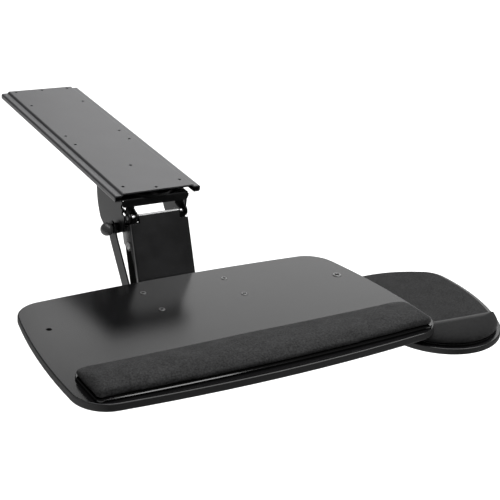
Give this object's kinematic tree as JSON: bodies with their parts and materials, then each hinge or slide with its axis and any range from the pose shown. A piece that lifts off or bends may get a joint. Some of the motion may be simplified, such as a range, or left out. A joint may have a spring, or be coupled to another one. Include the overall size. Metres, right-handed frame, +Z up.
{
  "type": "under-desk keyboard tray with arm",
  "caption": "Under-desk keyboard tray: a slotted rail, sliding swivel bracket, lifting arm with side link, tilting board with palm rest, and a swinging round-nosed mouse platform.",
  "frame": {"origin": "middle of the rail's top face, which lies against the underside of the desk", "axes": "+X to the user's right, +Y to the rear along the rail, +Z up"},
  "size_m": [0.7147, 0.8416, 0.1798],
  "materials": {
    "track_paint": "satin dark grey powder coat",
    "arm_paint": "satin black powder coat",
    "bracket_paint": "satin black powder coat",
    "nylon": "black nylon",
    "zinc": "zinc plated",
    "black_steel": "blackened steel",
    "knob_black": "polished black",
    "board_black": "satin black laminate",
    "gloss_black": "gloss black",
    "cushion_fabric": "fine woven black fabric",
    "pad_fabric": "smooth black cloth"
  },
  "bodies": {
    "rail": {"track": "track_paint", "end_stops": "nylon"},
    "carriage": {"carriage_plate": "black_steel", "glides": "nylon", "carriage_bumper": "nylon", "swivel_disc": "nylon", "swivel_bolt": "black_steel", "swivel_washer": "zinc", "swivel_nut": "zinc"},
    "bracket": {"swivel_bracket": "bracket_paint", "upper_hinge_pin": "zinc", "link_stud": "black_steel", "link_spacer": "nylon"},
    "knob": {"ball_knob": "knob_black"},
    "arm": {"arm_cover": "arm_paint", "arm_frame": "arm_paint", "arm_bushes": "nylon", "cover_screws": "zinc", "cover_nuts": "zinc"},
    "link": {"link_bar": "arm_paint"},
    "head": {"head_yoke": "arm_paint", "lower_hinge_pin": "zinc", "link_bolt": "black_steel", "link_nut": "zinc", "tilt_bolt": "black_steel", "tilt_nut": "zinc", "tilt_washers": "nylon"},
    "tray": {"tray_bracket": "arm_paint", "keyboard_board": "board_black", "board_screws": "black_steel", "board_nuts": "zinc", "palm_base": "gloss_black", "palm_cushion": "cushion_fabric", "pivot_screw": "black_steel", "pivot_spacer": "nylon", "pivot_washer": "zinc", "pivot_nut": "zinc"},
    "mouse": {"mouse_platform": "board_black", "mouse_plate": "black_steel", "mouse_plate_screws": "black_steel", "mouse_pad": "pad_fabric", "mouse_palm_base": "gloss_black", "mouse_palm_cushion": "cushion_fabric"}
  },
  "joints": [
    {"name": "track_slide", "type": "slide", "parent": "rail", "child": "carriage", "axis": [0, 1, 0], "range_m": [0, 0.3169]},
    {"name": "swivel", "type": "hinge", "parent": "carriage", "child": "bracket", "pos_m": [0, -0.17342, -0.01355], "axis": [0, 0, 1], "continuous": true},
    {"name": "arm_lift", "type": "hinge", "parent": "bracket", "child": "arm", "pos_m": [0, -0.22542, -0.04095], "axis": [-1, 0, 0], "range_deg": [-22, 30]},
    {"name": "link_swing", "type": "hinge", "parent": "bracket", "child": "link", "pos_m": [-0.0625, -0.20667, -0.06415], "axis": [-1, 0, 0], "range_deg": [-22, 30]},
    {"name": "head_level", "type": "hinge", "parent": "arm", "child": "head", "pos_m": [0, -0.28082, -0.14514], "axis": [-1, 0, 0], "range_deg": [-30, 22]},
    {"name": "knob_turn", "type": "hinge", "parent": "bracket", "child": "knob", "pos_m": [-0.0713, -0.20667, -0.06415], "axis": [-1, 0, 0], "range_deg": [0, 270]},
    {"name": "tray_tilt", "type": "hinge", "parent": "head", "child": "tray", "pos_m": [0, -0.30242, -0.13494], "axis": [-1, 0, 0], "range_deg": [-15, 4.5]},
    {"name": "mouse_swivel", "type": "hinge", "parent": "tray", "child": "mouse", "pos_m": [0.2347, -0.38145, -0.13598], "axis": [0, 0.064, 0.9979], "range_deg": [-70, 70]}
  ],
  "couplings": [
    {"joint": "link_swing", "follows": "arm_lift", "ratio": 1},
    {"joint": "head_level", "follows": "arm_lift", "ratio": -1}
  ]
}
